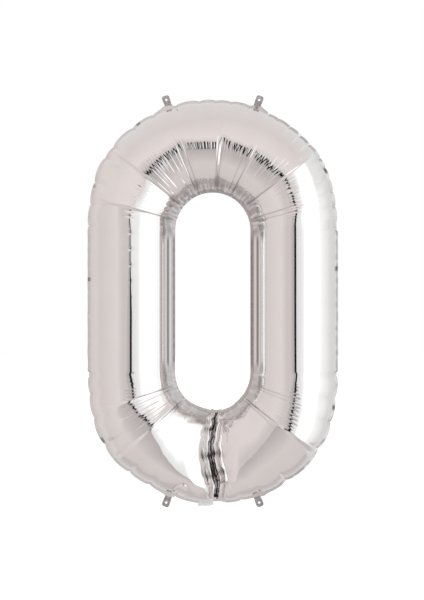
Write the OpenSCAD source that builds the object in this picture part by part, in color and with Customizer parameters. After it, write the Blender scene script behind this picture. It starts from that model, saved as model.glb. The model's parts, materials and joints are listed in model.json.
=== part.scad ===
// Inflated foil number balloon, digit zero.
// A closed tube of welded metallised film runs once around an oval ring.
// Millimetres. +X is right, +Z is up and the front of the balloon faces -Y.
// The origin is the centre of the whole balloon, in the plane of its edge welds.

/* [Ring outline, inflated] */
// Width of the ring across its outer edge
body_w = 535; // [500:1:560]
// Height of the ring across its outer edge
body_h = 864; // [840:1:890]
// Width of the hole
hole_w = 160; // [140:1:190]
// Height of the hole
hole_h = 464; // [440:1:490]

/* [Film and welds] */
// Wall thickness of one film, thicker than the real film so that it is a solid
film_t = 0.6; // [0.4:0.1:1]
// Thickness of the weld layer between two films
weld_t = 0.3; // [0.2:0.1:0.5]
// Width of the edge welds beside the straight tubes
weld_w = 6; // [4:0.5:8]

/* [Cross weld] */
// Place of the cross weld to the right of the middle, in the bottom arc
cross_x = 6; // [4:1:12]
// Width of the cross weld
cross_w = 6; // [4:0.5:8]
// Width of the valley over the cross weld, at the crown of the tube
valley_w = 24; // [14:1:40]

/* [Hanging tabs] */
// Width of a hanging tab
tab_w = 16; // [14:1:20]
// Length of a hanging tab, from its fold to its tip
tab_len = 24.5; // [22:0.5:28]
// Distance from the fold to the middle of the hole
tab_hole_at = 15.5; // [14:0.5:17]
// Diameter of the hanging hole
tab_hole_d = 5; // [4:0.5:6]
// Angle between a tab's direction and the vertical
tab_angle = 20.5; // [16:0.5:26]
// Corner radius of a tab's tip
tab_corner = 5; // [3:0.5:6]

/* [Inlet and valve] */
// Width of the inlet tail and of the valve sleeve
inlet_w = 32; // [26:1:34]
// Place of the inlet's middle, left of the centre of the bottom arc
inlet_x = -15; // [-24:1:-14]
// Length of the inlet tail outside the edge weld
inlet_len = 6.9; // [4:0.1:7]
// Length of the valve sleeve inside the tube
valve_len = 110; // [80:5:130]
// Width of each side weld of the valve sleeve
valve_weld_w = 3; // [2:0.5:4]
// Gap between the two films of the valve sleeve
valve_gap = 0.6; // [0.4:0.1:1]

/* [Hidden] */
$fn = 96;

silver = [0.80, 0.78, 0.77];
weld_silver = [0.66, 0.65, 0.64];
tab_grey = [0.60, 0.60, 0.60];
valve_white = [0.90, 0.90, 0.88, 0.6];

// The outer edge and the hole are ovals: two half circles joined by straight sides
outer_r = body_w / 2;
outer_straight = (body_h - body_w) / 2;
hole_r = hole_w / 2;
hole_straight = (hole_h - hole_w) / 2;

// The inflated tube follows the oval halfway between them
ring_r = (outer_r + hole_r) / 2;
ring_straight = (outer_straight + hole_straight) / 2;
tube_r = (outer_r - hole_r) / 2 - weld_w;

// A weld layer and the two films on it
edge_t = weld_t + 2 * film_t;
// Clear space at a fold, so that the folding piece turns free of the edge
fold_gap = edge_t / 2 + 0.3;
// Clear space between the valve sleeve and the tube wall
valve_clear = 0.5;
// Height of the tube's centre line at the bottom of the ring
tube_bottom_z = -(ring_straight + ring_r);
// Height of the inlet's fold
inlet_z = -(outer_straight + outer_r + fold_gap);
// Height of the inner end of the valve's way through the edge weld
valve_z = -(ring_straight + sqrt(pow(ring_r + tube_r - film_t, 2) - pow(inlet_x - inlet_w / 2, 2)))
          + valve_clear;
// A length past every surface, for cutting tools
over = 1;

// An oval outline in the XZ plane, as a flat shape in X and Y
module oval(r, straight) {
    for (side = [-1, 1])
        translate([0, side * straight]) circle(r = r);
    square([2 * r, 2 * straight], center = true);
}

// A flat oval band in the seam plane, from depth y0 to depth y1
module oval_band(r_out, straight_out, r_in, straight_in, y0, y1) {
    translate([0, y1, 0])
        rotate([90, 0, 0])
            linear_extrude(height = y1 - y0)
                difference() {
                    oval(r_out, straight_out);
                    oval(r_in, straight_in);
                }
}

// Carries a flat section once around the oval: X is outwards, Y is towards the front
module around_ring() {
    rotate([90, 0, 0]) {
        for (side = [0, 1])
            rotate([0, 0, side * 180]) {
                translate([0, ring_straight, 0])
                    rotate_extrude(angle = 180)
                        translate([ring_r, 0]) children();
                translate([ring_r, ring_straight, 0])
                    rotate([90, 0, 0])
                        linear_extrude(height = 2 * ring_straight)
                            children();
            }
    }
}

// The front half of a disc, down to the weld layer
module half_disc(r) {
    intersection() {
        circle(r = r);
        translate([-r - over, weld_t / 2]) square([2 * (r + over), r + over]);
    }
}

// The valley over the cross weld, seen along Z. It is cut out of the tube.
module valley_outline(inset) {
    foot = cross_w / 2 + inset;
    crown = valley_w / 2 + inset;
    floor_y = -(weld_t / 2 + film_t) + inset;
    top_y = -(tube_r + over);
    polygon([[-foot, floor_y], [-crown, top_y], [crown, top_y], [foot, floor_y]]);
}

module valley_prism(inset) {
    translate([cross_x, 0, tube_bottom_z - tube_r - over])
        linear_extrude(height = 2 * (tube_r + over))
            valley_outline(inset);
}

// The two films that close the ends of the tube and meet at the cross weld
module valley_walls() {
    intersection() {
        difference() {
            valley_prism(film_t);
            valley_prism(0);
        }
        around_ring() half_disc(tube_r);
    }
}

// Half of the tube with its edge welds' flat films, for the front of the balloon
module half_envelope() {
    y_out = -(weld_t / 2 + film_t);
    y_in = -weld_t / 2;
    difference() {
        around_ring()
            difference() {
                half_disc(tube_r);
                circle(r = tube_r - film_t);
            }
        valley_prism(0);
    }
    valley_walls();
    oval_band(outer_r, outer_straight, ring_r + tube_r - film_t / 2, ring_straight, y_out, y_in);
    oval_band(ring_r - tube_r + film_t / 2, ring_straight, hole_r, hole_straight, y_out, y_in);
}

module front_panel() {
    color(silver) half_envelope();
}

module back_panel() {
    color(silver) mirror([0, 1, 0]) half_envelope();
}

// The outer weld stops on both sides of the inlet, which stays open for filling
module outer_seam() {
    color(weld_silver)
        difference() {
            oval_band(outer_r, outer_straight, ring_r + tube_r - film_t / 2, ring_straight,
                      -weld_t / 2, weld_t / 2);
            translate([inlet_x - inlet_w / 2 + valve_weld_w, -weld_t, inlet_z])
                cube([inlet_w - 2 * valve_weld_w, 2 * weld_t, 2 * outer_r]);
        }
}

module inner_seam() {
    color(weld_silver)
        oval_band(ring_r - tube_r + film_t / 2, ring_straight, hole_r, hole_straight,
                  -weld_t / 2, weld_t / 2);
}

module cross_seam() {
    length = 2 * (tube_r - film_t);
    color(weld_silver)
        translate([cross_x - cross_w / 2, -weld_t / 2, tube_bottom_z - length / 2])
            cube([cross_w, weld_t, length]);
}

// One film of the inlet tail below its fold, at depth y0
module inlet_lip(y0) {
    translate([inlet_x - inlet_w / 2, y0, inlet_z - inlet_len])
        cube([inlet_w, film_t, inlet_len]);
}

module inlet_lip_front() {
    color(valve_white) inlet_lip(-(weld_t / 2 + film_t));
}

module inlet_lip_back() {
    color(valve_white) inlet_lip(weld_t / 2);
}

// One film of the valve sleeve inside the tube, at depth y0
module valve_film(y0) {
    translate([inlet_x - inlet_w / 2, y0, valve_z])
        cube([inlet_w, film_t, valve_len]);
}

module valve_film_front() {
    color(valve_white) valve_film(-(valve_gap / 2 + film_t));
}

module valve_film_back() {
    color(valve_white) valve_film(valve_gap / 2);
}

module valve_side_seams() {
    color(valve_white)
        for (x = [inlet_x - inlet_w / 2, inlet_x + inlet_w / 2 - valve_weld_w])
            translate([x, -valve_gap / 2, valve_z])
                cube([valve_weld_w, valve_gap, valve_len]);
}

// A hanging tab in its own place: its fold is on the X axis and it points up
module hanging_tab() {
    color(tab_grey)
        translate([0, edge_t / 2, 0])
            rotate([90, 0, 0])
                linear_extrude(height = edge_t)
                    difference() {
                        union() {
                            translate([-tab_w / 2, 0]) square([tab_w, tab_len - tab_corner]);
                            translate([-tab_w / 2 + tab_corner, 0])
                                square([tab_w - 2 * tab_corner, tab_len]);
                            for (side = [-1, 1])
                                translate([side * (tab_w / 2 - tab_corner), tab_len - tab_corner])
                                    circle(r = tab_corner);
                        }
                        translate([0, tab_hole_at]) circle(d = tab_hole_d);
                    }
}

// side is -1 for left and 1 for right; end is -1 for the bottom and 1 for the top
module placed_tab(side, end) {
    mirror([0, 0, end < 0 ? 1 : 0])
        translate([0, 0, outer_straight])
            rotate([0, side * tab_angle, 0])
                translate([0, 0, outer_r + fold_gap])
                    hanging_tab();
}

module hanging_tab_top_left() {
    placed_tab(-1, 1);
}

module hanging_tab_top_right() {
    placed_tab(1, 1);
}

module hanging_tab_bottom_left() {
    placed_tab(-1, -1);
}

module hanging_tab_bottom_right() {
    placed_tab(1, -1);
}

front_panel();
back_panel();
outer_seam();
inner_seam();
cross_seam();
inlet_lip_front();
inlet_lip_back();
valve_film_front();
valve_film_back();
valve_side_seams();
hanging_tab_top_left();
hanging_tab_top_right();
hanging_tab_bottom_left();
hanging_tab_bottom_right();
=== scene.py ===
"""Looks of an inflated foil number balloon, digit zero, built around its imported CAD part.

Metres, +X right, +Z up, the front faces -Y. The ring is followed clockwise, seen from the
front, from the left side of the cross weld at the bottom to its right side.
"""
import json
import math
import bmesh
import bpy
import numpy as np
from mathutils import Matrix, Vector


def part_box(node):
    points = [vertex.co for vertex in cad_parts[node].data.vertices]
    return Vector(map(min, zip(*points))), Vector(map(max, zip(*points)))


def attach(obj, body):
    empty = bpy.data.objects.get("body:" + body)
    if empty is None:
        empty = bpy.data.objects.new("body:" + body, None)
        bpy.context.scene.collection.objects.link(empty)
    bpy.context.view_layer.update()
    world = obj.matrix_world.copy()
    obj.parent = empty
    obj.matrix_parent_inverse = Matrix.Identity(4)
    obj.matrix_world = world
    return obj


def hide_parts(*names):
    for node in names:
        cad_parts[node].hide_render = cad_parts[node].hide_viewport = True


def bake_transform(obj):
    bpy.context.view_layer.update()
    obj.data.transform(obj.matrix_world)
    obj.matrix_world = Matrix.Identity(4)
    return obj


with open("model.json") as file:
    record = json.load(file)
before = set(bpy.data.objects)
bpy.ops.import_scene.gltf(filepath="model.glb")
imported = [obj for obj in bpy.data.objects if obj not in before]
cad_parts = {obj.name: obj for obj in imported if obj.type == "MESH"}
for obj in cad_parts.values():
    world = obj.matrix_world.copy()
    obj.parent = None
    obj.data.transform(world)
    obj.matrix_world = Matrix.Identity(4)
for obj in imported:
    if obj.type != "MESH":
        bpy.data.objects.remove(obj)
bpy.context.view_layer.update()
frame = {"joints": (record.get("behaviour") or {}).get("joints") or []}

MM = 0.001
RNG = np.random.RandomState(11)

# ---------------------------------------------------------------- sizes, from the frame
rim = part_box("outer_seam")[1]
hole_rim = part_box("inner_seam")[1]
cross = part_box("cross_seam")
HALF_W = rim.x  # half width of the ring across its edge welds
WELD_W = 6 * MM  # width of an edge weld
ARC_Z = rim.z - rim.x - 12.5 * MM  # height of the arcs' centres; the film draws them in
R_IN = hole_rim.x  # where the film leaves the weld around the hole
R_OUT = HALF_W - WELD_W  # where it leaves the outer weld, on the straight sides
R_CROWN = (R_IN + R_OUT) / 2  # the tube's crown line, on the straight sides
TUBE_R = -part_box("front_panel")[0].y  # half the tube's thickness
ARC_SWELL = 11.5 * MM  # how much further out the outer edge lies in the arcs

# ---------------------------------------------------------------- grid of the film
TOP_STATIONS = 660  # stations along the top arc
BOTTOM_STATIONS = 290  # along each half of the bottom arc
SIDE_STATIONS = 110  # along each straight side
ACROSS = 62  # cells across one film, from weld to weld


def smooth(t):
    """A smooth step from 0 to 1 while t goes from 0 to 1."""
    t = np.clip(t, 0, 1)
    return t * t * (3 - 2 * t)


def window(x, a, b, c, d):
    """0 before a, 1 from b to c, 0 after d, with smooth slopes."""
    return smooth((x - a) / (b - a)) * (1 - smooth((x - c) / (d - c)))


def rounded(t):
    """A round hump: 0 where t is 0 or 1, and 1 in the middle."""
    return np.sqrt(np.maximum(4 * t * (1 - t), 0))


def gap_share(position, knots):
    """Number of the gap between sorted knots that a position is in, and its share of the way across."""
    gap = np.clip(np.searchsorted(knots, position) - 1, 0, len(knots) - 2)
    return gap, np.clip((position - knots[gap]) / (knots[gap + 1] - knots[gap]), 0, 1)


def stations():
    """Direction angle in degrees and centre height of each station, clockwise round the ring."""
    left = np.linspace(270, 180, BOTTOM_STATIONS, endpoint=False)
    top = np.linspace(180, 0, TOP_STATIONS, endpoint=False)
    right = np.linspace(0, -90, BOTTOM_STATIONS + 1)
    side = np.linspace(-ARC_Z, ARC_Z, SIDE_STATIONS, endpoint=False)
    angle = np.concatenate([left, np.full(SIDE_STATIONS, 180.0), top,
                            np.zeros(SIDE_STATIONS), right])
    height = np.concatenate([np.full(len(left), -ARC_Z), side, np.full(len(top), ARC_Z),
                             -side, np.full(len(right), -ARC_Z)])
    return angle, height


ANGLE, HEIGHT = stations()
TURN = np.radians(ANGLE)
OUTWARD = np.stack([np.cos(TURN), np.sin(TURN)], 1)
ON_TOP = HEIGHT >= ARC_Z - 1e-9
ON_BOTTOM = HEIGHT <= -ARC_Z + 1e-9
ON_ARCS = ON_TOP | ON_BOTTOM
# 1 in the middle part of the straight sides, easing to 0 at their ends and in the arcs
STRAIGHT = smooth((ARC_Z - np.abs(HEIGHT)) / (28 * MM))
# Length along the ring's crown line, from the left side of the cross weld
STEPS = np.hypot(np.diff(OUTWARD[:, 0] * R_CROWN), np.diff(HEIGHT + OUTWARD[:, 1] * R_CROWN))
ALONG = np.concatenate([[0], np.cumsum(STEPS)])

# Section angle: 0 at the weld around the hole, 90 at the crown, 180 at the outer weld
SHARE = np.linspace(0, 1, ACROSS + 1)
CROWDING = 0.07  # how much closer the cells lie beside the welds
PHI = 180 * (SHARE - CROWDING * np.sin(2 * np.pi * SHARE))

# Facets that the film folds into: (from angle, to angle, direction, crown distance in mm, tilt in
# degrees, angle at which the tilt starts). A facet is a straight piece of tube; its direction is
# square to its crown line.
FACETS = [
    (300, 222, 212.0, 178.0, -9, 222),
    (222, 198, 226.0, 168.0, 0, 210),
    (198, 181, 188.0, 172.0, 0, 190),
    (181, 166, 183.0, 174.0, 0, 174),
    (166, 142, 151.0, 180.0, 7, 154),
    (142, 111, 130.0, 184.6, 0, 126),
    (111, 85, 90.0, 181.0, 0, 98),
    (85, 62, 66.5, 183.3, 0, 73),
    (62, 36, 50.0, 182.7, 0, 49),
    (36, 14, 18.0, 180.0, 0, 25),
    (14, -1, -2.0, 173.8, 0, 7),
    (-1, -38, -4.0, 173.8, 0, -20),
    (-38, -120, -43.0, 179.0, 9, -38),
]
FACET_BLEND = 1.1  # half width of the bend between two facets, in degrees
MAX_SLANT = 43  # a facet's crown is followed no further round than this
SLANT_BEND = 6  # how suddenly it stops being followed there
EASY_SLANT = 14  # the part beside the hole is followed no further than this
EASY_UP_TO = 85  # up to this section angle
FLATTEST = 0.5  # a tube's depth is never less than this share of TUBE_R


def facet_weights():
    """How much each station follows each facet, as rows of shares that add up to 1."""
    rows = []
    for start, end, *_ in FACETS:
        begun = smooth((start - ANGLE + FACET_BLEND) / (2 * FACET_BLEND))
        ended = smooth((end - ANGLE + FACET_BLEND) / (2 * FACET_BLEND))
        rows.append(begun - ended)
    return np.array(rows)


def outer_edge():
    """Distance of the outer weld's inside from the arc centre, at each station."""
    from_side = np.minimum(np.abs(ANGLE), np.abs(ANGLE - 180))
    return R_OUT + ARC_SWELL * smooth((from_side - 6) / 30)


def film_base():
    """Distance from the arc centre and depth of the smooth film, without the wrinkles."""
    phi = np.radians(PHI)[None, :]
    out = outer_edge()[:, None]
    weight = facet_weights()
    crown = np.zeros(len(ANGLE))
    straight = np.zeros((len(ANGLE), ACROSS + 1))
    depth_shift = np.zeros(len(ANGLE))
    for share, (start, end, way, distance, tilt, level) in zip(weight, FACETS):
        turn = (ANGLE - way) / MAX_SLANT
        slant = np.radians(MAX_SLANT * turn / (1 + turn ** SLANT_BEND) ** (1 / SLANT_BEND))
        top = distance * MM / np.cos(slant)
        crown += share * top
        # Beside the hole a long facet follows the hole's curve instead of its own straight line
        steep = np.maximum(np.abs(slant) - math.radians(EASY_SLANT), 0)[:, None]
        eased = np.abs(slant)[:, None] - steep * (1 - smooth(PHI / EASY_UP_TO))[None, :]
        inner = (distance * MM - (distance * MM - R_IN) * np.cos(phi)) / np.cos(eased)
        outer = top[:, None] - (out - top[:, None]) * np.cos(phi)
        straight += share[:, None] * np.where(phi < np.pi / 2, inner, outer)
        slope = math.tan(math.radians(tilt))
        depth_shift += share * slope * distance * MM * np.radians(ANGLE - level)
    crown = crown[:, None]
    half = np.where(phi < np.pi / 2, crown - R_IN, out - crown)
    curved = crown - half * np.cos(phi)
    follow = window(PHI, 0, 24, 104, 158)[None, :]
    radius = curved + (straight - curved) * follow
    width = (out - R_IN) / 2
    # A film of one width from weld to weld: where the welds are further apart the tube is flatter
    height = np.sqrt(np.maximum(2 * TUBE_R ** 2 - width ** 2, (FLATTEST * TUBE_R) ** 2))
    height = (height + TUBE_R) / 2
    depth = height * np.sin(phi) + depth_shift[:, None] * np.sin(phi)
    return radius, depth


# ---------------------------------------------------------------- the film beside the cross weld
CROSS_HALF = (cross[1].x - cross[0].x) / 2  # half width of the cross weld
FLOOR_HALF = CROSS_HALF + 0.8 * MM  # the flat floor beside it ends here
LOBE_WALL = 7 * MM  # the wall beside the flat floor ends here
LOBE_REACH = 14 * MM  # the small lobes beside it end here
LOBE_HEIGHT = 0.52  # share of the full depth that the lobes have
CROSS_REACH = 60 * MM  # length over which the tube's end closes, at the crown
FAR = 1.0  # distance given to points that are not in the bottom arc

# Kinks of the lobes on the left and right side of the cross weld: heights from bottom to top, in mm
LEFT_KINKS = [-420, -372, -327, -273, -236]
RIGHT_KINKS = [-420, -384, -361, -323, -236]
# The two rows of lobes: (stations, heights of the kinks, which way they lean)
LOBE_ROWS = [(ON_BOTTOM & (ANGLE > 90), np.array(LEFT_KINKS) * MM, 1),
             (ON_BOTTOM & (ANGLE < 90), np.array(RIGHT_KINKS) * MM, -1)]


def weld_distance(radius):
    """Distance of each film point from the cross weld, along the ring."""
    left = (np.radians(270) - TURN)[:, None] * radius
    right = (TURN - np.radians(-90))[:, None] * radius
    return np.where(ON_BOTTOM[:, None], np.minimum(left, right), FAR)


def end_closing(radius):
    """Share of the full depth that the film keeps beside the cross weld."""
    near = weld_distance(radius)
    reach = CROSS_REACH * (0.6 + 0.4 * window(PHI, -30, 20, 110, 180))[None, :]
    wall = smooth((near - FLOOR_HALF) / (LOBE_WALL - FLOOR_HALF))
    t = np.clip((near - LOBE_REACH) / (reach - LOBE_REACH), 0, 1)
    bulge = np.maximum(1 - (1 - t) ** 2, 0) ** 0.6
    return wall * (LOBE_HEIGHT + (1 - LOBE_HEIGHT) * bulge)


def from_kink(z, knot):
    """Distance above or below a kink, which lies on the grid line that is nearest to its height."""
    nearest = np.abs(z - knot).argmin(axis=1)[:, None]
    return np.abs(z - np.take_along_axis(z, nearest, 1))


def lobes(height, points, radius):
    """Small pillows in a row on both sides of the cross weld, with a crease behind them."""
    near = weld_distance(radius)
    z = points[..., 2]
    for rows, knots, _ in LOBE_ROWS:
        _, t = gap_share(z[rows], knots)
        d = near[rows]
        across = np.sin(np.pi * np.clip((d - LOBE_WALL) / (LOBE_REACH - LOBE_WALL), 0, 1))
        height[rows] += 4.2 * MM * across * rounded(t)
        height[rows] -= 1.8 * MM * np.exp(-np.abs(d - LOBE_REACH) / (1.6 * MM))
        for knot in knots[1:-1]:
            reach = np.exp(-d / (13 * MM))
            height[rows] -= 5.2 * MM * reach * np.exp(-from_kink(z[rows], knot) / (1.8 * MM))


def place(radius, depth):
    """Points of the film in space, from their distance and their depth towards the front."""
    x = radius * OUTWARD[:, :1]
    z = HEIGHT[:, None] + radius * OUTWARD[:, 1:]
    near = window(np.where(ON_BOTTOM, np.minimum(270 - ANGLE, ANGLE + 90), 90), -2, -1, 5, 48)
    x = x + valley_x(z) * near[:, None]
    return np.stack([x, -depth, z], -1)


# The zigzag of the cross weld: (height, place to the right of the middle), in mm
VALLEY = np.array([(-440, 9), (-405, 8), (-388, 10), (-345, -1), (-312, -5), (-285, -1), (-232, 8)]) * MM


def valley_x(z):
    """Place of the cross weld to the right of the middle at height z."""
    wiggle = 0.8 * MM * np.sin(z / (4.3 * MM)) + 0.6 * MM * np.sin(z / (2.6 * MM) + 1)
    return np.interp(z, VALLEY[:, 0], VALLEY[:, 1]) + wiggle


def normals(points):
    """Unit normals of a grid of points, towards the front for the front film."""
    du = np.gradient(points, axis=0)
    dv = np.gradient(points, axis=1)
    n = np.cross(du, dv)
    n /= np.maximum(np.linalg.norm(n, axis=2, keepdims=True), 1e-12)
    side = -1 if n[..., 1].sum() > 0 else 1
    return n * side


# ---------------------------------------------------------------- wrinkles
def add_line(height, radius, centre, where, amount, width, start, full, fade, end,
             lean=0.0, sharp=False):
    """Adds one radial line to the heights: a ridge, or a groove if amount is negative.

    It runs along the direction centre from section angle start to end, leaning by so many degrees.
    """
    rows = where & (np.abs(ANGLE - centre) < np.degrees(6 * width / R_IN) + abs(lean))
    if not rows.any():
        return
    local = centre + lean * (PHI[None, :] - 90) / 90
    offset = np.radians(ANGLE[rows][:, None] - local) * radius[rows]
    shape = np.exp(-np.abs(offset) / width) if sharp else np.exp(-(offset / width) ** 2)
    height[rows] += amount * shape * window(PHI, start, full, fade, end)[None, :]


# Long creases between the facets, from the hole to past the crown:
# (direction, strength, section angle at which it ends)
TOP_CREASES = [(166, 1.6, 118), (163.5, 0.9, 100), (142.5, 2.2, 118), (139.5, 1.2, 100),
               (113.5, 2.0, 128), (109.5, 1.6, 126), (86.5, 1.9, 128), (83.5, 1.3, 122),
               (67.5, 1.0, 112), (62, 1.9, 120), (36, 2.4, 126), (15.5, 1.7, 118), (11.5, 1.3, 116)]
BOTTOM_CREASES = [(198, 1.5, 112), (202, 0.9, 104), (222, 2.0, 112), (225, 1.2, 102),
                  (-17, 1.3, 108), (-20, 0.9, 100), (-38, 2.2, 126), (-41, 1.2, 104)]
CREASE_DEPTH = 0.45 * MM  # depth of a crease of strength 1
CREASE_WIDTH = 1.1 * MM


def all_creases():
    """Each crease, with the arc that it is in."""
    for where, lines in ((ON_TOP, TOP_CREASES), (ON_BOTTOM, BOTTOM_CREASES)):
        for line in lines:
            yield (where, *line)


def creases(height, radius):
    """Presses the long creases between the facets into the film."""
    for where, centre, strength, end in all_creases():
        add_line(height, radius, centre, where, -strength * CREASE_DEPTH, CREASE_WIDTH,
                 5, 35, end - 40, end, sharp=True)


CROWN_PITCH = 6.2 * MM  # from one fine wrinkle to the next at the crown
CROWN_LINE = 182 * MM  # distance of the crown line from the arcs' centres
# Stretches of the arcs with fine wrinkles: (arc, first and last direction)
CROWN_STRETCHES = [(ON_TOP, 176, 2), (ON_BOTTOM, 226, 184), (ON_BOTTOM, -6, -36)]


def crown_wrinkles(height, radius):
    """Fine short wrinkles square to the crown line, where the film has too much length."""
    for where, first, last in CROWN_STRETCHES:
        span = abs(first - last)
        count = int(math.radians(span) * CROWN_LINE / CROWN_PITCH)
        for i in range(count):
            centre = first - span * (i + 0.5 + RNG.uniform(-0.3, 0.3)) / count
            start = RNG.uniform(30, 62)
            end = RNG.uniform(98, 122)
            amount = RNG.uniform(0.08, 0.26) * MM
            add_line(height, radius, centre, where, amount, 1.9 * MM,
                     start, start + 22, end - 20, end, lean=RNG.uniform(-0.5, 0.5))


RIDGE_HEIGHT = 1.5 * MM
RIDGE_WIDTH = 4.5  # half width of the ridge, in degrees of section angle
RIDGE_GAPS = 5.4 * MM  # length along the ridge over which its gaps repeat, over 2 pi


def crown_ridge():
    """A low ridge along the left crown line, up to the first crease, with short gaps in it."""
    grown = smooth((HEIGHT + 40 * MM) / (160 * MM)) * smooth((ANGLE - 167) / 4) * ~ON_BOTTOM
    along = HEIGHT + np.radians(180 - ANGLE) * R_CROWN
    gaps = np.maximum(np.sin(along / RIDGE_GAPS), 0) ** 6
    across = np.exp(-((PHI - 90) / RIDGE_WIDTH) ** 2)[None, :]
    return RIDGE_HEIGHT * (grown * (1 - 0.85 * gaps))[:, None] * across


# Puckers beside the hole: (arc, first and last direction, pitch, lowest and highest height, lowest
# and highest width), in mm
PUCKERS = [(ON_TOP, 184, -4, 7.6, (1.4, 3.4), (1.3, 2.3)),
           (ON_BOTTOM, 250, 176, 14.0, (1.2, 2.4), (2.0, 3.4)),
           (ON_BOTTOM, 4, -72, 14.0, (1.2, 2.4), (2.0, 3.4))]


def inner_wrinkles(height, radius):
    """Deep puckers beside the weld around the hole, in both arcs."""
    for where, first, last, pitch, heights, widths in PUCKERS:
        span = abs(first - last)
        count = int(math.radians(span) * (R_IN + 6 * MM) / (pitch * MM))
        for i in range(count):
            centre = first - span * (i + 0.5 + RNG.uniform(-0.35, 0.35)) / count
            end = RNG.uniform(28, 64)
            amount = RNG.uniform(*heights) * MM
            add_line(height, radius, centre, where, amount, RNG.uniform(*widths) * MM,
                     -1, 5, end * 0.3, end, lean=RNG.uniform(-2.5, 2.5), sharp=True)


# Notches of the outer edge, where the weld folds in: direction angles
TOP_NOTCHES = [188, 178, 168, 158, 146, 140, 128, 117.5, 107, 96, 88.5, 82, 73.5, 64, 59.5, 53, 47,
               41.5, 34, 29, 24, 18, 11, 4]
LEFT_NOTCHES = [268, 252, 240, 230, 214, 201, 190, 182]
RIGHT_NOTCHES = [-2, -12, -23, -36, -56, -70, -79, -88]
# The same on the straight sides, as heights: evenly spaced, then shifted a little
SIDE_NOTCHES = np.arange(-168, 169, 24) * MM + 8 * MM * np.sin(np.arange(15) * 2.3)
ARC_SCALLOP = 0.42 * MM  # height of a scallop for each degree of its length
SIDE_SCALLOP = 0.016  # height of a scallop over its length, on the sides


def pillow(position, notches):
    """0 at each notch, with a round hump as high as it is long between them, along the edge."""
    edges = np.sort(np.array(notches, float))
    gap, t = gap_share(position, edges)
    size = edges[gap + 1] - edges[gap]
    inside = (position > edges[0]) & (position < edges[-1])
    return np.where(inside, rounded(t) * size, 0)


def edge_pillows():
    """Scallop height at each station, in metres, from the notches of the outer weld."""
    top = pillow(ANGLE, TOP_NOTCHES) * ON_TOP
    left = pillow(ANGLE, LEFT_NOTCHES) * ON_BOTTOM * (ANGLE > 90)
    right = pillow(ANGLE, RIGHT_NOTCHES) * ON_BOTTOM * (ANGLE < 90)
    sides = pillow(HEIGHT, SIDE_NOTCHES) * ~ON_ARCS
    return (top + left + right) * ARC_SCALLOP + sides * SIDE_SCALLOP


def soft_noise(points, wavelength, seed, waves=14):
    """Smooth noise of about unit size over the front plane."""
    rng = np.random.RandomState(seed)
    total = np.zeros(points.shape[:2])
    for _ in range(waves):
        way = rng.uniform(0, 2 * np.pi)
        size = 2 * np.pi / (wavelength * rng.uniform(0.7, 1.6))
        phase = rng.uniform(0, 2 * np.pi)
        place_on = points[..., 0] * math.cos(way) + points[..., 2] * math.sin(way)
        total += np.cos(size * place_on + phase)
    return total / math.sqrt(waves / 2)


def crumple(along, across, wavelength, seed, waves=7):
    """Sharp-edged noise of about unit size, like crumpled foil, over two film coordinates."""
    rng = np.random.RandomState(seed)
    total = np.zeros(np.broadcast(along, across).shape)
    for _ in range(waves):
        way = rng.uniform(0, np.pi)
        size = 1 / (wavelength * rng.uniform(0.7, 1.5))
        phase = rng.uniform(0, 1)
        place_on = along * math.cos(way) + across * math.sin(way)
        total += np.abs((size * place_on + phase) % 1 - 0.5) * 4 - 1
    return total / math.sqrt(waves)


# ---------------------------------------------------------------- haze and painted shade on the film
# Haze and painted shade of the film: 0 is bright, 1 is hazy and greyed by painted shade, and 2 is the
# painted black shade of a closed fold
CLOSED_FOLD_SHADE = 2.2
PUCKER_CLEAR = 1.5 * MM  # the painted shade between the puckers beside the hole is gone on puckers this high
PLEAT_AT = 24  # section angle of the pleat beside the hole, and of its line of painted shade, on the sides
LINE_AT = 33  # section angle of the broken line of painted shade beside it, in the low arc
GAP_CRUMPLE = 2.0 * MM  # how uneven the painted black shade over the cross weld's gap is


def collar_haze_and_shade(puckers):
    """The hazy collar beside the weld around the hole, with painted shade between the puckers."""
    low_arc = ((HEIGHT < 0) * (1 - STRAIGHT))[:, None]
    arcs = 1 - STRAIGHT[:, None]
    valley = 1 - np.clip(puckers / PUCKER_CLEAR, 0, 1)
    collar = 0.25 + 0.1 * low_arc + (0.65 - 0.45 * low_arc) * valley
    haze_and_shade = collar * window(PHI, -2, -1, 18, 46)[None, :] * arcs
    # A broken line of painted shade along the collar's edge, in the low arc
    broken = 0.5 + 0.5 * np.sin(ALONG / (19 * MM)) + 0.4 * np.sin(ALONG / (8.3 * MM) + 2)
    line = np.exp(-np.abs(PHI - LINE_AT) / 1.8)[None, :] * np.clip(broken, 0, 1)[:, None]
    haze_and_shade += 0.9 * line * low_arc
    # On the straight sides, a line of painted shade along the pleat
    return np.maximum(haze_and_shade, 1.4 * window(PHI, 19, 23, 26, 30)[None, :] * (1 - arcs))


def haze_and_shade_field(puckers, radius):
    """How hazy the film is and the shade painted on it, at every point: painted shade between its
    puckers, in its creases, behind the lobes and over the cross weld.
    """
    haze_and_shade = collar_haze_and_shade(puckers)
    for where, centre, strength, _ in all_creases():
        # Painted shade along the creases
        add_line(haze_and_shade, radius, centre, where, 0.4 * strength, CREASE_WIDTH, 8, 24, 66, 92, sharp=True)
    near = weld_distance(radius)
    haze_and_shade = haze_and_shade * smooth((near + 12 * MM * (PHI < 14) - 12 * MM) / (16 * MM))
    # Painted shade in the crease behind the lobes
    shade_behind_lobes = np.exp(-np.abs(near - LOBE_REACH) / (1.1 * MM))
    haze_and_shade += 0.7 * shade_behind_lobes * (PHI > 25) * (PHI < 165)
    z = HEIGHT[:, None] + radius * OUTWARD[:, 1:]
    # Painted black shade in the closed gap over the cross weld
    gap = near + GAP_CRUMPLE * crumple(z, near, 11 * MM, 57)
    gap_shade = CLOSED_FOLD_SHADE * (1 - smooth((gap - 0.4 * MM) / (2.0 * MM)))
    return np.maximum(np.clip(haze_and_shade, 0, 1.3), gap_shade)


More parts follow.
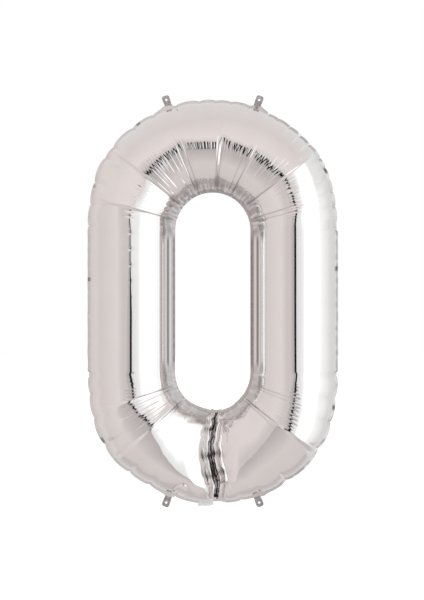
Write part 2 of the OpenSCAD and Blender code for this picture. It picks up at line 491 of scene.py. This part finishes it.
def kink_shade(haze_and_shade, points, radius):
    """Painted shade in the creases across the lobes at their kinks."""
    near = weld_distance(radius)
    for rows, knots, _ in LOBE_ROWS:
        for knot in knots[1:-1]:
            away = from_kink(points[rows, :, 2], knot)
            haze_and_shade[rows] += 2.4 * np.exp(-near[rows] / (10 * MM)) * np.exp(-away / (1.4 * MM))


# ---------------------------------------------------------------- all the wrinkles together
def soft_dents(points, seed):
    """Height of the film's soft dents, and of its crumpled band beside the hole."""
    fade = np.sin(np.radians(PHI))[None, :]
    arcs = ON_ARCS[:, None]
    height = (0.1 + 0.45 * arcs) * MM * soft_noise(points, 120 * MM, seed) * fade
    height += 0.1 * MM * soft_noise(points, 38 * MM, seed + 1) * fade * arcs
    along = np.radians(ANGLE)[:, None] * R_IN
    across = PHI[None, :] / 180 * math.pi * TUBE_R
    band = window(PHI, -1, 4, 22, 48)[None, :] * (0.35 + 0.65 * ON_TOP[:, None]) * arcs
    return height + 0.5 * MM * crumple(along, 0.7 * across, 17 * MM, seed + 2) * band


def wrinkles(points, radius, seed):
    """Height of the wrinkles above the smooth film, and its haze and painted shade, at every point."""
    puckers = np.zeros(radius.shape)
    inner_wrinkles(puckers, radius)
    haze_and_shade = haze_and_shade_field(puckers, radius)
    height = puckers.copy()
    creases(height, radius)
    crown_wrinkles(height, radius)
    height += soft_dents(points, seed) + crown_ridge()
    pleat = np.exp(-np.abs(PHI - PLEAT_AT) / 4)[None, :]
    height -= 1.6 * MM * pleat * STRAIGHT[:, None]
    height *= smooth((weld_distance(radius) - 16 * MM) / (14 * MM))
    lobes(height, points, radius)
    kink_shade(haze_and_shade, points, radius)
    return height, haze_and_shade


BULGE = (-66 * MM, -399 * MM)  # middle of the small bulge left of the inlet, in X and Z
BULGE_R = 17 * MM
BULGE_HEIGHT = 5.5 * MM


def small_bulge(points, haze_and_shade):
    """The small round bulge left of the inlet, with a crease around it and painted shade in the crease
    over its upper half.
    """
    across, up = points[..., 0] - BULGE[0], points[..., 2] - BULGE[1]
    wobble = 1 + 0.1 * np.sin(3 * np.arctan2(up, across) + 1)
    away = np.hypot(across, 1.2 * up) / BULGE_R * wobble
    dome = BULGE_HEIGHT * np.maximum(1 - away ** 2, 0)
    points[..., 1] -= dome - 1.6 * MM * np.exp(-((away - 1) / 0.16) ** 2)
    # Painted shade in the crease, on its upper half only
    haze_and_shade += 0.3 * np.exp(-((away - 1) / 0.1) ** 2) * (up > 0)


def lean_lobes(points, radius):
    """The small lobes lean over the cross weld, so that only a narrow gap is left between them."""
    near = weld_distance(radius)
    for rows, knots, way in LOBE_ROWS:
        z = points[rows, :, 2]
        _, t = gap_share(z, knots)
        reach = window(near[rows], 2.6 * MM, 5.5 * MM, 8 * MM, 17 * MM)
        crinkle = 0.5 * MM * crumple(z, near[rows], 6 * MM, 31)
        points[rows, :, 0] += way * reach * (2.0 * MM * rounded(t) + crinkle)
        points[rows, :, 1] += 1.6 * reach * crinkle


# ---------------------------------------------------------------- the film pieces
FILM_CLEAR = 0.15 * MM  # a film stays this far from the middle plane
WELD_CLEAR = 0.18 * MM  # and its flat edge this far from the weld layer's middle


def film_points(side):
    """Grid of one film: side is 1 for the front and -1 for the back."""
    radius, depth = film_base()
    scallop = edge_pillows()[:, None]
    near_edge = window(PHI, 120, 172, 200, 201)[None, :]
    radius = radius + (scallop - 2.5 * MM * ON_ARCS[:, None]) * near_edge
    belly = window(PHI, 128, 158, 166, 180)[None, :]
    depth = depth + scallop * belly * (0.35 + 0.35 * ON_TOP[:, None])
    depth = depth * end_closing(radius)
    points = place(radius, depth)
    height, haze_and_shade = wrinkles(points, radius, 5 + side)
    points = points + normals(points) * height[..., None]
    lean_lobes(points, radius)
    if side > 0:
        small_bulge(points, haze_and_shade)
    points[..., 1] = np.minimum(points[..., 1], -FILM_CLEAR)
    points[..., 1] *= side
    return points, haze_and_shade


def grid_mesh(name, points):
    """An object with a smooth mesh of quads over one grid of points, or over several."""
    index = np.arange(points[..., 0].size).reshape(points.shape[:-1])
    corners = (index[..., :-1, :-1], index[..., 1:, :-1], index[..., 1:, 1:], index[..., :-1, 1:])
    faces = np.stack(corners, -1).reshape(-1, 4)
    mesh = bpy.data.meshes.new(name)
    mesh.from_pydata(points.reshape(-1, 3).tolist(), [], faces.tolist())
    mesh.polygons.foreach_set("use_smooth", np.ones(len(faces), bool))
    mesh.update()
    piece = bpy.data.objects.new(name, mesh)
    bpy.context.scene.collection.objects.link(piece)
    return piece


FLANGE_BEND = 3.3 * MM  # how far the outer weld bends back in the arcs
SIDE_BEND = 0.9 * MM  # how far it bends back on the straight sides
HOLE_BEND = 1.0 * MM  # how far the weld around the hole does
TAB_WAYS = (69.5, 110.5, -69.5, -110.5)  # directions of the hanging tabs from the arc centres


def from_tab(tab_way):
    """Degrees from each station to a hanging tab's direction, from -180 to 180."""
    return (ANGLE - tab_way + 180) % 360 - 180


def flange_depth(share, sign):
    """How far the flat weld bends back from the seam plane, at a share of its width."""
    ruffle = np.sin(ALONG / (4.1 * MM)) + 0.7 * np.sin(ALONG / (2.7 * MM) + 1)
    if sign < 0:
        return share * (HOLE_BEND + 0.2 * MM * ruffle)
    for tab_way in TAB_WAYS:
        ruffle = ruffle * smooth((np.abs(from_tab(tab_way)) - 2) / 3)
    bend = FLANGE_BEND * ON_ARCS + SIDE_BEND * ~ON_ARCS
    return share * (bend + (0.7 * ON_ARCS + 0.25) * MM * ruffle)


def flange_line(points, column, sign, share):
    """Points along the flat weld beside the film: sign is 1 outside and -1 at the hole."""
    out = np.stack([OUTWARD[:, 0], np.zeros(len(ANGLE)), OUTWARD[:, 1]], 1)
    wide = np.full(len(ANGLE), WELD_W * 0.93)
    if sign > 0:
        for tab_way in TAB_WAYS:
            arc = ON_TOP if tab_way > 0 else ON_BOTTOM
            wide += 4.5 * MM * np.exp(-(from_tab(tab_way) / 2.6) ** 2) * arc
    line = points[:, column] + out * (sign * share * wide)[:, None]
    line[:, 1] = flange_depth(share, sign)
    return line


FLANGE_SHARES = (0.15, 0.55, 1.0)  # places of the flat weld's columns across its width


def flange(points, column, sign, side):
    """Columns of points across the film where it lies on the weld layer."""
    columns = []
    for share in FLANGE_SHARES:
        line = flange_line(points, column, sign, share)
        line[:, 1] -= side * WELD_CLEAR
        columns.append(line)
    return columns


def sheet_haze_and_shade(film_part):
    """Haze and shade of the whole sheet: the film between its two flat welds, of three columns each. The
    welds are greyer, at the hole more on the straight sides, at the outer edge more towards the right and
    in spots along it.
    """
    hole = np.tile(0.6 + 0.5 * STRAIGHT[:, None], (1, len(FLANGE_SHARES)))
    right = np.clip(OUTWARD[:, :1], 0, 1)
    waves = np.sin(ALONG / (9 * MM)) + np.sin(ALONG / (5.3 * MM)) + np.sin(ALONG / (23 * MM))
    dark_spots = 0.9 * smooth((waves[:, None] - 2.1) / 0.4)
    edge = np.tile(0.2 + 0.5 * right + dark_spots, (1, len(FLANGE_SHARES)))
    return np.concatenate([hole, film_part, edge], 1)


def film(name, side):
    """One film with its flat welds, and the points between them. Its haze and painted shade are stored
    for the look.
    """
    points, haze_and_shade = film_points(side)
    hole = flange(points, 0, -1, side)
    edge = flange(points, -1, 1, side)
    whole = np.stack(hole[::-1] + [points[:, i] for i in range(points.shape[1])] + edge, 1)
    haze_and_shade = sheet_haze_and_shade(haze_and_shade)
    if side < 0:
        whole, haze_and_shade = whole[:, ::-1], haze_and_shade[:, ::-1]
    piece = grid_mesh(name, whole)
    layer = piece.data.attributes.new("haze_and_shade", "FLOAT", "POINT")
    layer.data.foreach_set("value", haze_and_shade.astype(np.float32).ravel())
    return piece, points


LAYER_HALF = 0.12 * MM  # half the thickness of the edge's weld layer
CROSS_LAYER_HALF = 0.07 * MM  # half the thickness of the cross weld's layer


def weld_band(name, points, column, sign):
    """The weld layer between the two films, at the hole or the outer edge: a thin closed band."""
    inner = flange_line(points, column, sign, 0.02)
    outer = flange_line(points, column, sign, 1.04)
    half = np.array([0, LAYER_HALF, 0])
    ring = np.stack([inner - half, outer - half, outer + half, inner + half, inner - half], 1)
    return grid_mesh(name, ring)


def cross_band(name):
    """The weld layer that closes the tube's ends: a thin zigzag strip, from the hole outwards."""
    z = np.linspace(cross[0].z, cross[1].z, 240)
    half = CROSS_HALF - 0.4 * MM
    rows = []
    for right, back in ((-1, -1), (1, -1), (1, 1), (-1, 1), (-1, -1)):
        y = np.full(len(z), back * CROSS_LAYER_HALF)
        rows.append(np.stack([valley_x(z) + right * half, y, z], 1))
    return grid_mesh(name, np.stack(rows, 1))


def join_up(piece, distance, fill=False):
    """Joins coinciding points, closes open ends if asked to, and turns the faces outwards."""
    work = bmesh.new()
    work.from_mesh(piece.data)
    bmesh.ops.remove_doubles(work, verts=work.verts, dist=distance)
    if fill:
        open_edges = [edge for edge in work.edges if edge.is_boundary]
        bmesh.ops.holes_fill(work, edges=open_edges, sides=0)
    bmesh.ops.recalc_face_normals(work, faces=work.faces)
    work.to_mesh(piece.data)
    work.free()


# ---------------------------------------------------------------- hanging tabs
TAB_W = 16 * MM
TAB_LEN = 24.5 * MM  # from the fold to the tip
TAB_HOLE_AT = 15.5 * MM  # from the fold to the middle of the hole
TAB_HOLE_R = 2.5 * MM
TAB_CORNER = 5 * MM  # corner radius of the tip
TAB_NECK = 0.6 * MM  # how much narrower each side is near the root
TAB_ROOT = 4 * MM  # how far the tab reaches in between the edge's films
TAB_T = 0.7 * MM  # two films sealed together, with their crimped relief
TAB_SPOKES = 72  # points round the hole
HALVINGS = 30  # steps of the search for the outline
# Rings from the hole to the outline: shares of the way, and thicknesses as shares of TAB_T
TAB_RINGS = [(0, 0.55), (0.12, 1.0), (0.28, 1.05), (0.45, 0.75), (0.6, 0.65), (0.74, 0.7),
             (0.87, 0.75), (0.95, 0.85), (1.0, 0.35)]


def outside_tab(x, z):
    """Whether a point is outside the tab's outline, measured from its punched hole."""
    x = abs(x)
    side, tip, root = TAB_W / 2, TAB_LEN - TAB_HOLE_AT, TAB_HOLE_AT + TAB_ROOT
    neck = side - TAB_NECK * float(smooth(-(z + 3 * MM) / (6 * MM)))
    past_x, past_z = x - (side - TAB_CORNER), z - (tip - TAB_CORNER)
    past_corner = past_x > 0 and past_z > 0 and math.hypot(past_x, past_z) > TAB_CORNER
    return x > neck or z > tip or -z > root or past_corner


def tab_outline(ways):
    """Distance from the punched hole to the tab's outline in each direction, in the tab's plane."""
    reach = np.zeros(len(ways))
    for i, way in enumerate(ways):
        low, high = 0.0, 40 * MM
        for _ in range(HALVINGS):
            middle = (low + high) / 2
            outside = outside_tab(math.sin(way) * middle, math.cos(way) * middle)
            low, high = (low, middle) if outside else (middle, high)
        reach[i] = low
    return reach


def tab_ring(face, share, thickness, ways, reach, phases):
    """One ring of a tab's points round its hole, on one face."""
    r = TAB_HOLE_R + (reach - TAB_HOLE_R) * share
    x, z = r * np.sin(ways), r * np.cos(ways)
    crimp = 0.12 * MM * np.sin(x / (0.55 * MM) + phases[0]) * np.sin(z / (0.8 * MM) + phases[1])
    sway = 0.7 * MM * np.sin(z / (7 * MM) + phases[2]) + 0.5 * MM * np.sin(x / (4 * MM) + phases[3])
    from_root = z + TAB_HOLE_AT
    # At its root the tab is thin, and lies where the bent outer weld lies
    sway = sway * smooth(from_root / (8 * MM)) + FLANGE_BEND * (1 - smooth(from_root / (14 * MM)))
    thin = 0.3 + 0.7 * smooth((from_root - 1 * MM) / (3 * MM))
    crimp = crimp * thin * (0.15 < share < 0.95)
    y = face * TAB_T / 2 * thickness * thin + sway + crimp
    return np.stack([x, y, from_root], 1)


def hanging_tab(name, joint, seed):
    """A grey tab with a punched hole: closed, crimped, with a raised lip round the hole."""
    ways = np.linspace(0, 2 * np.pi, TAB_SPOKES, endpoint=False)
    reach = tab_outline(ways)
    phases = np.random.RandomState(seed).uniform(0, 6.28, 4)
    rings = [tab_ring(-1, *ring, ways, reach, phases) for ring in TAB_RINGS]
    rings += [tab_ring(1, *ring, ways, reach, phases) for ring in TAB_RINGS[::-1]]
    grid = np.stack(rings + [rings[0]], 0)
    grid = np.concatenate([grid, grid[:, :1]], 1)
    root = Vector(joint["pos_m"])
    back = Vector((0, 1, 0))
    up = back.cross(Vector(joint["axis"]).normalized()).normalized()
    if up.z * root.z < 0:
        up = -up
    across = up.cross(back).normalized()
    turn = np.array([list(across), list(back), list(up)])
    piece = grid_mesh(name, grid @ turn + np.array(joint["pos_m"]))
    join_up(piece, 0.01 * MM)
    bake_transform(piece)
    return piece


# ---------------------------------------------------------------- inlet and valve
VALVE_LEAN = 0.2  # the sleeve leans away from the cross weld by this slope
VALVE_LEAN_FROM = -385 * MM  # above this height
SOFT_FILM_HALF = 0.12 * MM  # half the thickness of an inlet or valve film
VALVE_CELLS = 60  # cells along the sleeve
WELD_SHARE = 0.81  # the sleeve's side welds start at this share of its half width


def sheet_loop(low, high, face, cells, wave, part=(-1, 1), corner=0.0):
    """Closed loop of grid points round one soft film; part is the share of its width, from -1 to 1."""
    u = np.linspace(*part, 33)[:, None]
    v = np.linspace(0, 1, cells + 1)[None, :]
    half = (high.x - low.x) / 2
    z = high.z - (high.z - low.z) * v + corner * v * (u - 0.2) * (u > 0.2)
    x = (high.x + low.x) / 2 + half * u * (1 - 0.03 * np.sin(7 * v + face))
    x = x - VALVE_LEAN * np.maximum(z - VALVE_LEAN_FROM, 0)
    y = wave * (np.sin(5.2 * u + 9 * v * face) + 0.6 * np.sin(11 * u - 4 * v)) * (0.15 + 0.85 * v)
    y = y + (high.y + low.y) / 2
    front = np.stack([x, y - SOFT_FILM_HALF, z], -1)
    back = np.stack([x, y + SOFT_FILM_HALF, z], -1)
    return np.concatenate([front, back[:, ::-1], front[:, :1]], 1)


def soft_piece(name, points):
    """A closed soft film, or several, from closed loops of points."""
    piece = grid_mesh(name, points)
    join_up(piece, 0.001 * MM, fill=True)
    return piece


def inlet_lip(name, face):
    """One film of the inlet tail: it starts between the edge's films and ends at a pointed corner."""
    low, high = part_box("inlet_lip_" + name)
    high = high + Vector((0, 0, 14 * MM))
    low = low + Vector((0, 0, 2.5 * MM))
    loop = sheet_loop(low, high, face, 12, 0.5 * MM, corner=2.5 * MM)
    piece = soft_piece("inlet_" + name, loop)
    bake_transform(piece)
    return piece


def valve_film(name, face):
    """One film of the valve sleeve."""
    loop = sheet_loop(*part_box("valve_film_" + name), face, VALVE_CELLS, 0.12 * MM)
    return soft_piece("valve_" + name, loop)


def valve_welds():
    """The two side welds between the valve films, as one piece."""
    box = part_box("valve_side_seams")
    left = sheet_loop(*box, 1, VALVE_CELLS, 0, part=(-1, -WELD_SHARE))
    right = sheet_loop(*box, 1, VALVE_CELLS, 0, part=(WELD_SHARE, 1))
    return soft_piece("valve_welds", np.stack([left, right]))


# ---------------------------------------------------------------- materials
def material(name):
    """A new material with its nodes, its links and its shader."""
    made = bpy.data.materials.new(name)
    made.use_nodes = True
    return made, made.node_tree.nodes, made.node_tree.links, made.node_tree.nodes["Principled BSDF"]


def noise(nodes, links, scale, detail=3.0):
    """A noise texture over the object's own coordinates."""
    where = nodes.new("ShaderNodeTexCoord")
    texture = nodes.new("ShaderNodeTexNoise")
    texture.inputs["Scale"].default_value = scale
    texture.inputs["Detail"].default_value = detail
    links.new(where.outputs["Object"], texture.inputs["Vector"])
    return texture.outputs["Fac"]


def between(nodes, links, value, low, high, from_low=0.3, from_high=0.7):
    """A number between low and high that follows a texture value."""
    scale = nodes.new("ShaderNodeMapRange")
    links.new(value, scale.inputs["Value"])
    scale.inputs["From Min"].default_value = from_low
    scale.inputs["From Max"].default_value = from_high
    scale.inputs["To Min"].default_value = low
    scale.inputs["To Max"].default_value = high
    return scale.outputs[0]


def two_colours(nodes, links, value, a, b):
    """A colour between a and b that follows a value from 0 to 1."""
    mix = nodes.new("ShaderNodeMix")
    mix.data_type = "RGBA"
    links.new(value, mix.inputs["Factor"])
    inputs = [socket for socket in mix.inputs if socket.type == "RGBA"]
    for socket, colour in zip(inputs, (a, b)):
        if isinstance(colour, tuple):
            socket.default_value = (*colour, 1)
        else:
            links.new(colour, socket)
    return [socket for socket in mix.outputs if socket.type == "RGBA"][0]


def bump(nodes, links, shader, height, strength, distance):
    """Fine relief on a shader, too small to be in the mesh."""
    node = nodes.new("ShaderNodeBump")
    node.inputs["Strength"].default_value = strength
    node.inputs["Distance"].default_value = distance
    links.new(height, node.inputs["Height"])
    links.new(node.outputs["Normal"], shader.inputs["Normal"])


def foil_material():
    """Mirror-bright metallised film, hazy where it is crushed beside a weld, and greyed to black by
    painted shade in its folds and creases.
    """
    made, nodes, links, shader = material("silver_foil")
    shader.inputs["Metallic"].default_value = 1
    haze_and_shade = nodes.new("ShaderNodeAttribute")
    haze_and_shade.attribute_name = "haze_and_shade"
    haze_and_shade = haze_and_shade.outputs["Fac"]
    tone = between(nodes, links, noise(nodes, links, 18), 0, 1)
    bright = two_colours(nodes, links, tone, (0.955, 0.945, 0.94), (0.975, 0.968, 0.962))
    # Painted shade: the film turns pinkish grey where its folds and creases are shaded
    colour = two_colours(nodes, links, haze_and_shade, bright, (0.44, 0.41, 0.405))
    # Painted shade: past 1 it turns black, as in a closed fold
    fold_shade = between(nodes, links, haze_and_shade, 0, 1, 1, 2)
    colour = two_colours(nodes, links, fold_shade, colour, (0.03, 0.03, 0.03))
    links.new(colour, shader.inputs["Base Color"])
    haze = between(nodes, links, haze_and_shade, 0.055, 0.3, 0, 1)
    links.new(haze, shader.inputs["Roughness"])
    grain = noise(nodes, links, 900, 2.0)
    bump(nodes, links, shader, grain, 0.04, 0.05 * MM)
    return made


def weld_material():
    """Heat-sealed band: grey aluminium with a fine crimp across it."""
    made, nodes, links, shader = material("welded_foil")
    shader.inputs["Metallic"].default_value = 1
    tone = between(nodes, links, noise(nodes, links, 160), 0, 1)
    colour = two_colours(nodes, links, tone, (0.52, 0.51, 0.505), (0.70, 0.69, 0.68))
    links.new(colour, shader.inputs["Base Color"])
    links.new(between(nodes, links, noise(nodes, links, 420), 0.25, 0.45), shader.inputs["Roughness"])
    bump(nodes, links, shader, noise(nodes, links, 1400), 0.3, 0.1 * MM)
    return made


def tab_material():
    """Two sealed films seen grey, with the seal's crimp."""
    made, nodes, links, shader = material("grey_tab_foil")
    shader.inputs["Metallic"].default_value = 0.85
    tone = between(nodes, links, noise(nodes, links, 260, 4.0), 0, 1)
    colour = two_colours(nodes, links, tone, (0.30, 0.30, 0.305), (0.62, 0.62, 0.62))
    links.new(colour, shader.inputs["Base Color"])
    links.new(between(nodes, links, noise(nodes, links, 500), 0.25, 0.5), shader.inputs["Roughness"])
    bump(nodes, links, shader, noise(nodes, links, 1100), 0.5, 0.15 * MM)
    return made


def inlet_material():
    """Pale soft film with a faint silver backing."""
    made, nodes, links, shader = material("pale_inlet_film")
    shader.inputs["Metallic"].default_value = 0.35
    tone = between(nodes, links, noise(nodes, links, 120), 0, 1)
    colour = two_colours(nodes, links, tone, (0.72, 0.72, 0.71), (0.88, 0.88, 0.87))
    links.new(colour, shader.inputs["Base Color"])
    links.new(between(nodes, links, noise(nodes, links, 300), 0.22, 0.42), shader.inputs["Roughness"])
    bump(nodes, links, shader, noise(nodes, links, 500, 2.0), 0.25, 0.1 * MM)
    return made


def valve_material():
    """Clear soft polyethylene film, slightly milky."""
    made, nodes, links, shader = material("clear_valve_film")
    shader.inputs["Alpha"].default_value = 0.5
    tone = between(nodes, links, noise(nodes, links, 60), 0, 1)
    colour = two_colours(nodes, links, tone, (0.84, 0.85, 0.85), (0.94, 0.94, 0.93))
    links.new(colour, shader.inputs["Base Color"])
    links.new(between(nodes, links, noise(nodes, links, 200), 0.18, 0.35), shader.inputs["Roughness"])
    return made


# ---------------------------------------------------------------- studio
def pink(value):
    """A warm wall of this brightness."""
    return (value, 0.963 * value, 0.954 * value)


def grey(value):
    """A neutral wall of this brightness."""
    return (value, value, value)


# The pale room: display colours by direction in degrees, with 0 at the camera's side. Round the
# sides, positive angles are to the right; over and under, they go up.
ROUND_THE_SIDES = [(-180, pink(0.80)), (-115, pink(0.86)), (-95, pink(0.83)), (-38, pink(0.88)),
                   (-22, pink(0.81)), (-12, pink(0.81)), (-5, pink(0.71)), (0, grey(0.71)),
                   (4, grey(0.87)), (20, grey(0.94)), (31, grey(1)), (76, grey(1)),
                   (120, grey(0.86)), (180, grey(0.83))]
OVER_AND_UNDER = [(-180, grey(0.88)), (-108, pink(0.75)), (-90, pink(0.82)), (-46, pink(0.84)),
                  (-9, pink(0.71)), (0, grey(0.70)), (6, pink(0.81)), (20, pink(0.90)),
                  (67, pink(0.85)), (180, grey(0.87))]
HIGH_SIDES = [(-180, pink(0.86)), (-40, pink(0.88)), (0, grey(0.84)), (12, grey(0.94)), (180, grey(0.86))]
PANEL_LIGHT = 1.25  # light of the white panel on the right
STRIP_AT = 1.2  # direction of the narrow dark strip
STRIP_LIGHT = 0.004
MATT_LIGHT = 1.35  # light that falls evenly on matt surfaces


def linear(value):
    """The light of a display value."""
    return value / 12.92 if value <= 0.04045 else ((value + 0.055) / 1.055) ** 2.4


def math_node(nodes, links, kind, *values):
    """The result of a calculation on one or two numbers or sockets."""
    node = nodes.new("ShaderNodeMath")
    node.operation = kind
    for socket, value in zip(node.inputs, values):
        if isinstance(value, (int, float)):
            socket.default_value = value
        else:
            links.new(value, socket)
    return node.outputs[0]


def step(nodes, links, value, low, high):
    """0 below low and 1 above high, with a smooth slope."""
    scaled = between(nodes, links, value, 0, 1, low, high)
    scaled.node.interpolation_type = "SMOOTHSTEP"
    return scaled


def ramp(nodes, links, degrees, stops):
    """Colour by direction, from stops of (degrees, display colour) between -180 and 180."""
    node = nodes.new("ShaderNodeValToRGB")
    links.new(between(nodes, links, degrees, 0, 1, -180, 180), node.inputs["Fac"])
    elements = node.color_ramp.elements
    while len(elements) > 1:
        elements.remove(elements[-1])
    for i, (at, colour) in enumerate(stops):
        position = (at + 180) / 360
        element = elements[0] if i == 0 else elements.new(position)
        element.position = position
        element.color = (*[linear(value) for value in colour], 1)
    return node.outputs["Color"]


def angles(nodes, links):
    """Angles of the direction looked in, in degrees, as sockets.

    They are the angle round the sides, the angle over the top and under, the height above the
    horizon, and 1 near the horizon or 0 further from it, on each side.
    """
    where = nodes.new("ShaderNodeTexCoord")
    split = nodes.new("ShaderNodeSeparateXYZ")
    links.new(where.outputs["Generated"], split.inputs[0])
    x, y, z = split.outputs

    def calc(kind, *values):
        return math_node(nodes, links, kind, *values)

    toward = calc("MULTIPLY", y, -1.0)
    azimuth = calc("MULTIPLY", calc("ARCTAN2", x, toward), 180 / math.pi)
    arc = calc("MULTIPLY", calc("ARCTAN2", z, toward), 180 / math.pi)
    elevation = calc("MULTIPLY", calc("ARCSINE", z), 180 / math.pi)
    sideways = calc("MAXIMUM", calc("ABSOLUTE", x), 0.001)
    steepness = calc("ABSOLUTE", calc("DIVIDE", z, sideways))
    level = calc("SUBTRACT", 1.0, step(nodes, links, steepness, 0.72, 0.95))
    return azimuth, arc, elevation, level


def studio():
    """The room round the balloon: pale walls, a soft white panel on the right and a dark strip."""
    world = bpy.data.worlds.new("studio")
    bpy.context.scene.world = world
    world.use_nodes = True
    nodes, links = world.node_tree.nodes, world.node_tree.links
    nodes.clear()
    azimuth, arc, elevation, level = angles(nodes, links)

    def calc(kind, *values):
        return math_node(nodes, links, kind, *values)

    def grown(value, low, high):
        return step(nodes, links, value, low, high)

    def mix(share, a, b):
        return two_colours(nodes, links, share, a, b)

    sides = mix(grown(elevation, 9.0, 26.0), ramp(nodes, links, azimuth, ROUND_THE_SIDES),
                ramp(nodes, links, azimuth, HIGH_SIDES))
    colour = mix(level, ramp(nodes, links, arc, OVER_AND_UNDER), sides)

    panel_end = calc("SUBTRACT", 1.0, grown(azimuth, 62.0, 82.0))
    panel = calc("MULTIPLY", grown(azimuth, 21.0, 34.0), panel_end)
    colour = mix(calc("MULTIPLY", panel, level), colour, grey(PANEL_LIGHT))

    from_strip = calc("ABSOLUTE", calc("SUBTRACT", azimuth, STRIP_AT))
    across_strip = calc("SUBTRACT", 1.0, grown(from_strip, 2.3, 3.3))
    along_strip = calc("SUBTRACT", 1.0, grown(calc("ABSOLUTE", elevation), 8.0, 12.0))
    colour = mix(calc("MULTIPLY", across_strip, along_strip), colour, grey(STRIP_LIGHT))

    ray = nodes.new("ShaderNodeLightPath")
    colour = mix(ray.outputs["Is Diffuse Ray"], colour, grey(MATT_LIGHT))
    colour = mix(ray.outputs["Is Camera Ray"], colour, grey(1.0))
    light = nodes.new("ShaderNodeBackground")
    links.new(colour, light.inputs["Color"])
    out = nodes.new("ShaderNodeOutputWorld")
    links.new(light.outputs[0], out.inputs["Surface"])


CAMERA_DISTANCE = 4.5
CAMERA_AIM = Vector((-1.7 * MM, 0, 2.6 * MM))
FRAME_HEIGHT = 1.283  # height of the picture at the balloon
SENSOR = 36  # height of the camera's sensor, in its own millimetres


def camera():
    """A camera straight in front of the balloon."""
    data = bpy.data.cameras.new("camera")
    piece = bpy.data.objects.new("camera", data)
    bpy.context.scene.collection.objects.link(piece)
    piece.location = CAMERA_AIM + Vector((0, -CAMERA_DISTANCE, 0))
    piece.rotation_euler = (math.radians(90), 0, 0)
    data.sensor_fit = "AUTO"
    data.sensor_width = SENSOR
    data.lens = SENSOR * CAMERA_DISTANCE / FRAME_HEIGHT
    bpy.context.scene.camera = piece


# ---------------------------------------------------------------- the whole scene
def finish_piece(piece, slot, node, body="envelope"):
    """Gives a piece the look of a material slot and its body, and hides the CAD node that it stands for.
    """
    piece.data.materials.append(LOOKS[slot])
    if body:
        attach(piece, body)
    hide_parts(node)


FLOOR_HALF_SIZE = 30.0
FLOOR_Z = -0.9


def floor():
    """A plain pale floor below the hanging balloon."""
    ends = (-FLOOR_HALF_SIZE, FLOOR_HALF_SIZE)
    points = np.array([[[x, y, FLOOR_Z] for y in ends] for x in ends], float)
    piece = grid_mesh("floor", points)
    made, nodes, links, shader = material("pale_floor")
    tone = between(nodes, links, noise(nodes, links, 0.6), 0, 1)
    colour = two_colours(nodes, links, tone, (0.93, 0.93, 0.93), (0.95, 0.95, 0.95))
    links.new(colour, shader.inputs["Base Color"])
    shader.inputs["Roughness"].default_value = 0.9
    piece.data.materials.append(made)
    piece.visible_glossy = False


LOOKS = {"foil_film": foil_material(), "foil_weld": weld_material(), "tab_film": tab_material(),
         "inlet_film": inlet_material(), "valve_film": valve_material()}

front, front_points = film("front_film", 1)
back, _ = film("back_film", -1)
finish_piece(front, "foil_film", "front_panel")
finish_piece(back, "foil_film", "back_panel")
finish_piece(weld_band("outer_weld", front_points, -1, 1), "foil_weld", "outer_seam")
finish_piece(weld_band("inner_weld", front_points, 0, -1), "foil_weld", "inner_seam")
finish_piece(cross_band("cross_weld"), "foil_weld", "cross_seam")

JOINTS = {joint["child"]: joint for joint in frame["joints"]}
for seed, corner in enumerate(("top_left", "top_right", "bottom_left", "bottom_right")):
    piece = hanging_tab("tab_" + corner, JOINTS["tab_" + corner], seed)
    finish_piece(piece, "tab_film", "hanging_tab_" + corner, None)

for name, face in (("front", -1), ("back", 1)):
    finish_piece(inlet_lip(name, face), "inlet_film", "inlet_lip_" + name, None)
    finish_piece(valve_film(name, face), "valve_film", "valve_film_" + name)
finish_piece(valve_welds(), "valve_film", "valve_side_seams")

floor()
studio()
camera()
bpy.context.scene.view_settings.view_transform = "Standard"
